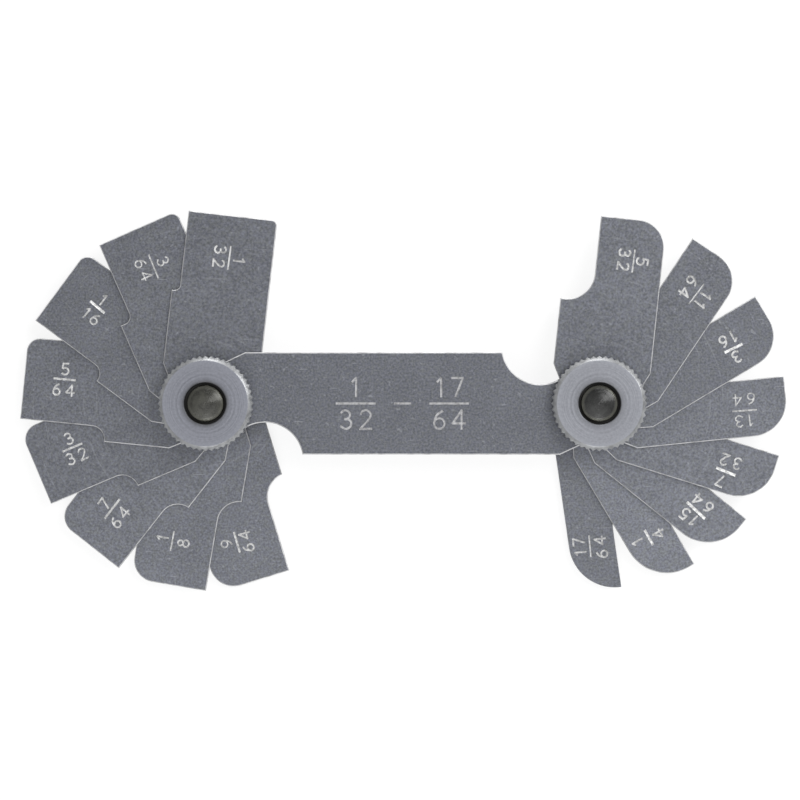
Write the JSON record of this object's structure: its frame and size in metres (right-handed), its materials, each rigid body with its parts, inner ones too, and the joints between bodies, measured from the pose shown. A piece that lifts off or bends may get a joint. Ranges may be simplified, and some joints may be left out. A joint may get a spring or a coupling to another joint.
{
  "type": "radius gauge",
  "caption": "Two-ended radius gauge: thin stepped leaves with hollow and rounded corners fan out from a flat handle at two pivots clamped by knurled nuts.",
  "frame": {"origin": "midway between the two pivots, on the outer face of the back plate", "axes": "+X along the handle from the fan of small sizes to the fan of large sizes; +Z out of the marked face, along the pivots; +Y to the long side of the handle that has its finger notch at the +X end"},
  "size_m": [0.1121, 0.0557, 0.0094],
  "materials": {
    "leaf_steel": "fine-grained satin, bluish grey",
    "plate_steel": "fine-grained satin, bluish grey",
    "nut_steel": "turned satin face, bright knurl and bevel",
    "stud_black": "blackened, semi-gloss"
  },
  "bodies": {
    "handle": {"front_plate": "plate_steel", "back_plate": "plate_steel", "left_stud": "stud_black", "right_stud": "stud_black"},
    "left_nut": {"left_nut": "nut_steel"},
    "right_nut": {"right_nut": "nut_steel"},
    "leaf_1_32": {"leaf_1_32": "leaf_steel"},
    "leaf_3_64": {"leaf_3_64": "leaf_steel"},
    "leaf_1_16": {"leaf_1_16": "leaf_steel"},
    "leaf_5_64": {"leaf_5_64": "leaf_steel"},
    "leaf_3_32": {"leaf_3_32": "leaf_steel"},
    "leaf_7_64": {"leaf_7_64": "leaf_steel"},
    "leaf_1_8": {"leaf_1_8": "leaf_steel"},
    "leaf_9_64": {"leaf_9_64": "leaf_steel"},
    "leaf_5_32": {"leaf_5_32": "leaf_steel"},
    "leaf_11_64": {"leaf_11_64": "leaf_steel"},
    "leaf_3_16": {"leaf_3_16": "leaf_steel"},
    "leaf_13_64": {"leaf_13_64": "leaf_steel"},
    "leaf_7_32": {"leaf_7_32": "leaf_steel"},
    "leaf_15_64": {"leaf_15_64": "leaf_steel"},
    "leaf_1_4": {"leaf_1_4": "leaf_steel"},
    "leaf_17_64": {"leaf_17_64": "leaf_steel"}
  },
  "joints": [
    {"name": "leaf_1_32_swing", "type": "hinge", "parent": "handle", "child": "leaf_1_32", "pos_m": [-0.0285, 0, 0.00507], "axis": [0, 0, 1], "range_deg": [-83.4, 276.6]},
    {"name": "leaf_3_64_swing", "type": "hinge", "parent": "handle", "child": "leaf_3_64", "pos_m": [-0.0285, 0, 0.00453], "axis": [0, 0, 1], "range_deg": [-113.7, 246.3]},
    {"name": "leaf_1_16_swing", "type": "hinge", "parent": "handle", "child": "leaf_1_16", "pos_m": [-0.0285, 0, 0.00399], "axis": [0, 0, 1], "range_deg": [-143.5, 216.5]},
    {"name": "leaf_5_64_swing", "type": "hinge", "parent": "handle", "child": "leaf_5_64", "pos_m": [-0.0285, 0, 0.00345], "axis": [0, 0, 1], "range_deg": [-174.4, 185.6]},
    {"name": "leaf_3_32_swing", "type": "hinge", "parent": "handle", "child": "leaf_3_32", "pos_m": [-0.0285, 0, 0.00291], "axis": [0, 0, 1], "range_deg": [-202.9, 157.1]},
    {"name": "leaf_7_64_swing", "type": "hinge", "parent": "handle", "child": "leaf_7_64", "pos_m": [-0.0285, 0, 0.00237], "axis": [0, 0, 1], "range_deg": [-231.9, 128.1]},
    {"name": "leaf_1_8_swing", "type": "hinge", "parent": "handle", "child": "leaf_1_8", "pos_m": [-0.0285, 0, 0.00183], "axis": [0, 0, 1], "range_deg": [-260.4, 99.6]},
    {"name": "leaf_9_64_swing", "type": "hinge", "parent": "handle", "child": "leaf_9_64", "pos_m": [-0.0285, 0, 0.00129], "axis": [0, 0, 1], "range_deg": [-287.2, 72.8]},
    {"name": "leaf_5_32_swing", "type": "hinge", "parent": "handle", "child": "leaf_5_32", "pos_m": [0.0285, 0, 0.00507], "axis": [0, 0, 1], "range_deg": [-263.9, 96.1]},
    {"name": "leaf_11_64_swing", "type": "hinge", "parent": "handle", "child": "leaf_11_64", "pos_m": [0.0285, 0, 0.00453], "axis": [0, 0, 1], "range_deg": [-236.3, 123.7]},
    {"name": "leaf_3_16_swing", "type": "hinge", "parent": "handle", "child": "leaf_3_16", "pos_m": [0.0285, 0, 0.00399], "axis": [0, 0, 1], "range_deg": [-211, 149]},
    {"name": "leaf_13_64_swing", "type": "hinge", "parent": "handle", "child": "leaf_13_64", "pos_m": [0.0285, 0, 0.00345], "axis": [0, 0, 1], "range_deg": [-185.8, 174.2]},
    {"name": "leaf_7_32_swing", "type": "hinge", "parent": "handle", "child": "leaf_7_32", "pos_m": [0.0285, 0, 0.00291], "axis": [0, 0, 1], "range_deg": [-162.7, 197.3]},
    {"name": "leaf_15_64_swing", "type": "hinge", "parent": "handle", "child": "leaf_15_64", "pos_m": [0.0285, 0, 0.00237], "axis": [0, 0, 1], "range_deg": [-141.3, 218.7]},
    {"name": "leaf_1_4_swing", "type": "hinge", "parent": "handle", "child": "leaf_1_4", "pos_m": [0.0285, 0, 0.00183], "axis": [0, 0, 1], "range_deg": [-120.8, 239.2]},
    {"name": "leaf_17_64_swing", "type": "hinge", "parent": "handle", "child": "leaf_17_64", "pos_m": [0.0285, 0, 0.00129], "axis": [0, 0, 1], "range_deg": [-98.2, 261.8]},
    {"name": "left_nut_turn", "type": "hinge", "parent": "handle", "child": "left_nut", "pos_m": [-0.0285, 0, 0.0064], "axis": [0, 0, 1], "range_deg": [0, 360]},
    {"name": "right_nut_turn", "type": "hinge", "parent": "handle", "child": "right_nut", "pos_m": [0.0285, 0, 0.0064], "axis": [0, 0, 1], "range_deg": [0, 360]}
  ]
}
